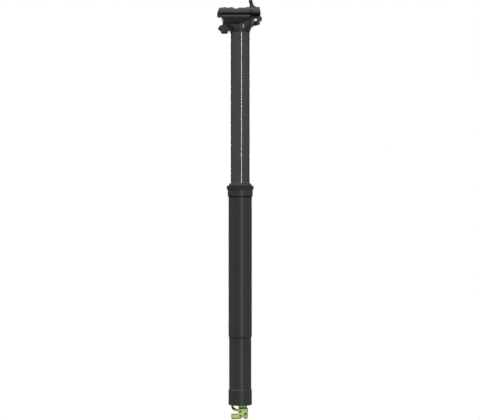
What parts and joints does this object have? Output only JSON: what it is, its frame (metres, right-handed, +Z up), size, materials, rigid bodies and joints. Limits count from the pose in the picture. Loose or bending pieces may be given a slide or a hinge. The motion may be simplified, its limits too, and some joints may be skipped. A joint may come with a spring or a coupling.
{
  "type": "dropper seatpost",
  "caption": "Cable-operated dropper seatpost: keyed stanchion on a gas spring, tilting saddle rail clamp on the head, actuator lever at the foot.",
  "frame": {"origin": "on the post's axis, at the underside of the collar, where the post stops against the top of the seat tube", "axes": "+Z up the post towards the saddle; +X towards the rear of the bicycle, -X the front; Y across it"},
  "size_m": [0.0603, 0.054, 0.5639],
  "materials": {
    "tube_anodised": "satin black anodised",
    "stanchion_anodised": "smooth hard black anodised",
    "collar_anodised": "turned, satin black anodised",
    "head_anodised": "forged, blasted, matte black anodised",
    "actuator_anodised": "machined, green anodised",
    "black_steel": "black oxide",
    "bright_steel": "bright",
    "chromed_rod": "polished",
    "cartridge_aluminium": "machined",
    "key_brass": "drawn",
    "seal_rubber": "matte moulded",
    "bushing_plastic": "filled bearing plastic"
  },
  "bodies": {
    "lower": {"outer_tube": "tube_anodised", "collar": "collar_anodised", "wiper_seal": "seal_rubber", "upper_bushing": "bushing_plastic", "bottom_cap": "collar_anodised", "foot_bumper": "seal_rubber", "rod_anchor": "cartridge_aluminium", "cartridge_rod": "chromed_rod", "rod_piston": "cartridge_aluminium", "piston_seal": "seal_rubber", "actuator_carrier": "actuator_anodised", "lever_pin": "black_steel", "spring_pin": "black_steel"},
    "post": {"stanchion": "stanchion_anodised", "guide_keys": "key_brass", "lower_bushing": "bushing_plastic", "top_bumper": "seal_rubber", "cartridge_body": "cartridge_aluminium", "cartridge_sleeve": "cartridge_aluminium", "cartridge_gland": "cartridge_aluminium", "rod_seal": "seal_rubber", "cartridge_plug": "cartridge_aluminium", "centring_ring": "bushing_plastic", "head": "head_anodised"},
    "gas": {"floating_piston": "cartridge_aluminium"},
    "clamp": {"rail_cradle": "head_anodised", "top_clamp": "head_anodised"},
    "front_nut": {"front_barrel_nut": "black_steel"},
    "rear_nut": {"rear_barrel_nut": "black_steel"},
    "front_bolt": {"front_clamp_bolt": "black_steel"},
    "rear_bolt": {"rear_clamp_bolt": "black_steel"},
    "front_washer_body": {"front_washer": "bright_steel"},
    "rear_washer_body": {"rear_washer": "bright_steel"},
    "lever": {"actuator_lever": "actuator_anodised", "push_pin": "black_steel", "spacer_pin": "black_steel"},
    "valve": {"valve_pin": "cartridge_aluminium"}
  },
  "joints": [
    {"name": "post_travel", "type": "slide", "parent": "lower", "child": "post", "axis": [0, 0, 1], "range_m": [-0.2, 0], "stiffness_N_per_m": 500, "springref_m": 0.5},
    {"name": "gas_piston", "type": "slide", "parent": "post", "child": "gas", "axis": [0, 0, 1], "range_m": [0, 0.101]},
    {"name": "saddle_tilt", "type": "hinge", "parent": "post", "child": "clamp", "pos_m": [-0.008, 0, 0.2627], "axis": [0, 1, 0], "range_deg": [-16, 0]},
    {"name": "front_nut_turn", "type": "hinge", "parent": "clamp", "child": "front_nut", "pos_m": [-0.0212, 0, 0.2504], "axis": [0, 1, 0], "range_deg": [0, 26]},
    {"name": "rear_nut_turn", "type": "hinge", "parent": "clamp", "child": "rear_nut", "pos_m": [0.01762, 0, 0.2491], "axis": [0, 1, 0], "range_deg": [0, 28.5]},
    {"name": "front_bolt_screw", "type": "slide", "parent": "front_nut", "child": "front_bolt", "axis": [0, 0, 1], "range_m": [0, 0.003]},
    {"name": "rear_bolt_screw", "type": "slide", "parent": "rear_nut", "child": "rear_bolt", "axis": [-0.2521, 0, 0.9677], "range_m": [-0.0073, 0]},
    {"name": "front_washer_turn", "type": "hinge", "parent": "post", "child": "front_washer_body", "pos_m": [-0.0212, 0, 0.223], "axis": [0, 1, 0], "range_deg": [0, 9.5]},
    {"name": "rear_washer_turn", "type": "hinge", "parent": "post", "child": "rear_washer_body", "pos_m": [0.0215, 0, 0.2342], "axis": [0, 1, 0], "range_deg": [0, 12]},
    {"name": "lever_pull", "type": "hinge", "parent": "lower", "child": "lever", "pos_m": [0.0071, 0, -0.2915], "axis": [0, 1, 0], "range_deg": [0, 9], "stiffness_Nm_per_rad": 0.5, "springref_deg": -17.19},
    {"name": "valve_push", "type": "slide", "parent": "lower", "child": "valve", "axis": [0, 0, 1], "range_m": [0, 0.0012]}
  ],
  "couplings": [
    {"joint": "gas_piston", "follows": "post_travel", "ratio": -0.504},
    {"joint": "front_nut_turn", "follows": "saddle_tilt", "ratio": -1.5715},
    {"joint": "rear_nut_turn", "follows": "saddle_tilt", "ratio": -1.7333},
    {"joint": "front_bolt_screw", "follows": "saddle_tilt", "m_per_rad": -0.010205},
    {"joint": "rear_bolt_screw", "follows": "saddle_tilt", "m_per_rad": 0.025493},
    {"joint": "front_washer_turn", "follows": "saddle_tilt", "ratio": -0.57154},
    {"joint": "rear_washer_turn", "follows": "saddle_tilt", "ratio": -0.73331},
    {"joint": "valve_push", "follows": "lever_pull", "m_per_rad": 0.0069}
  ]
}
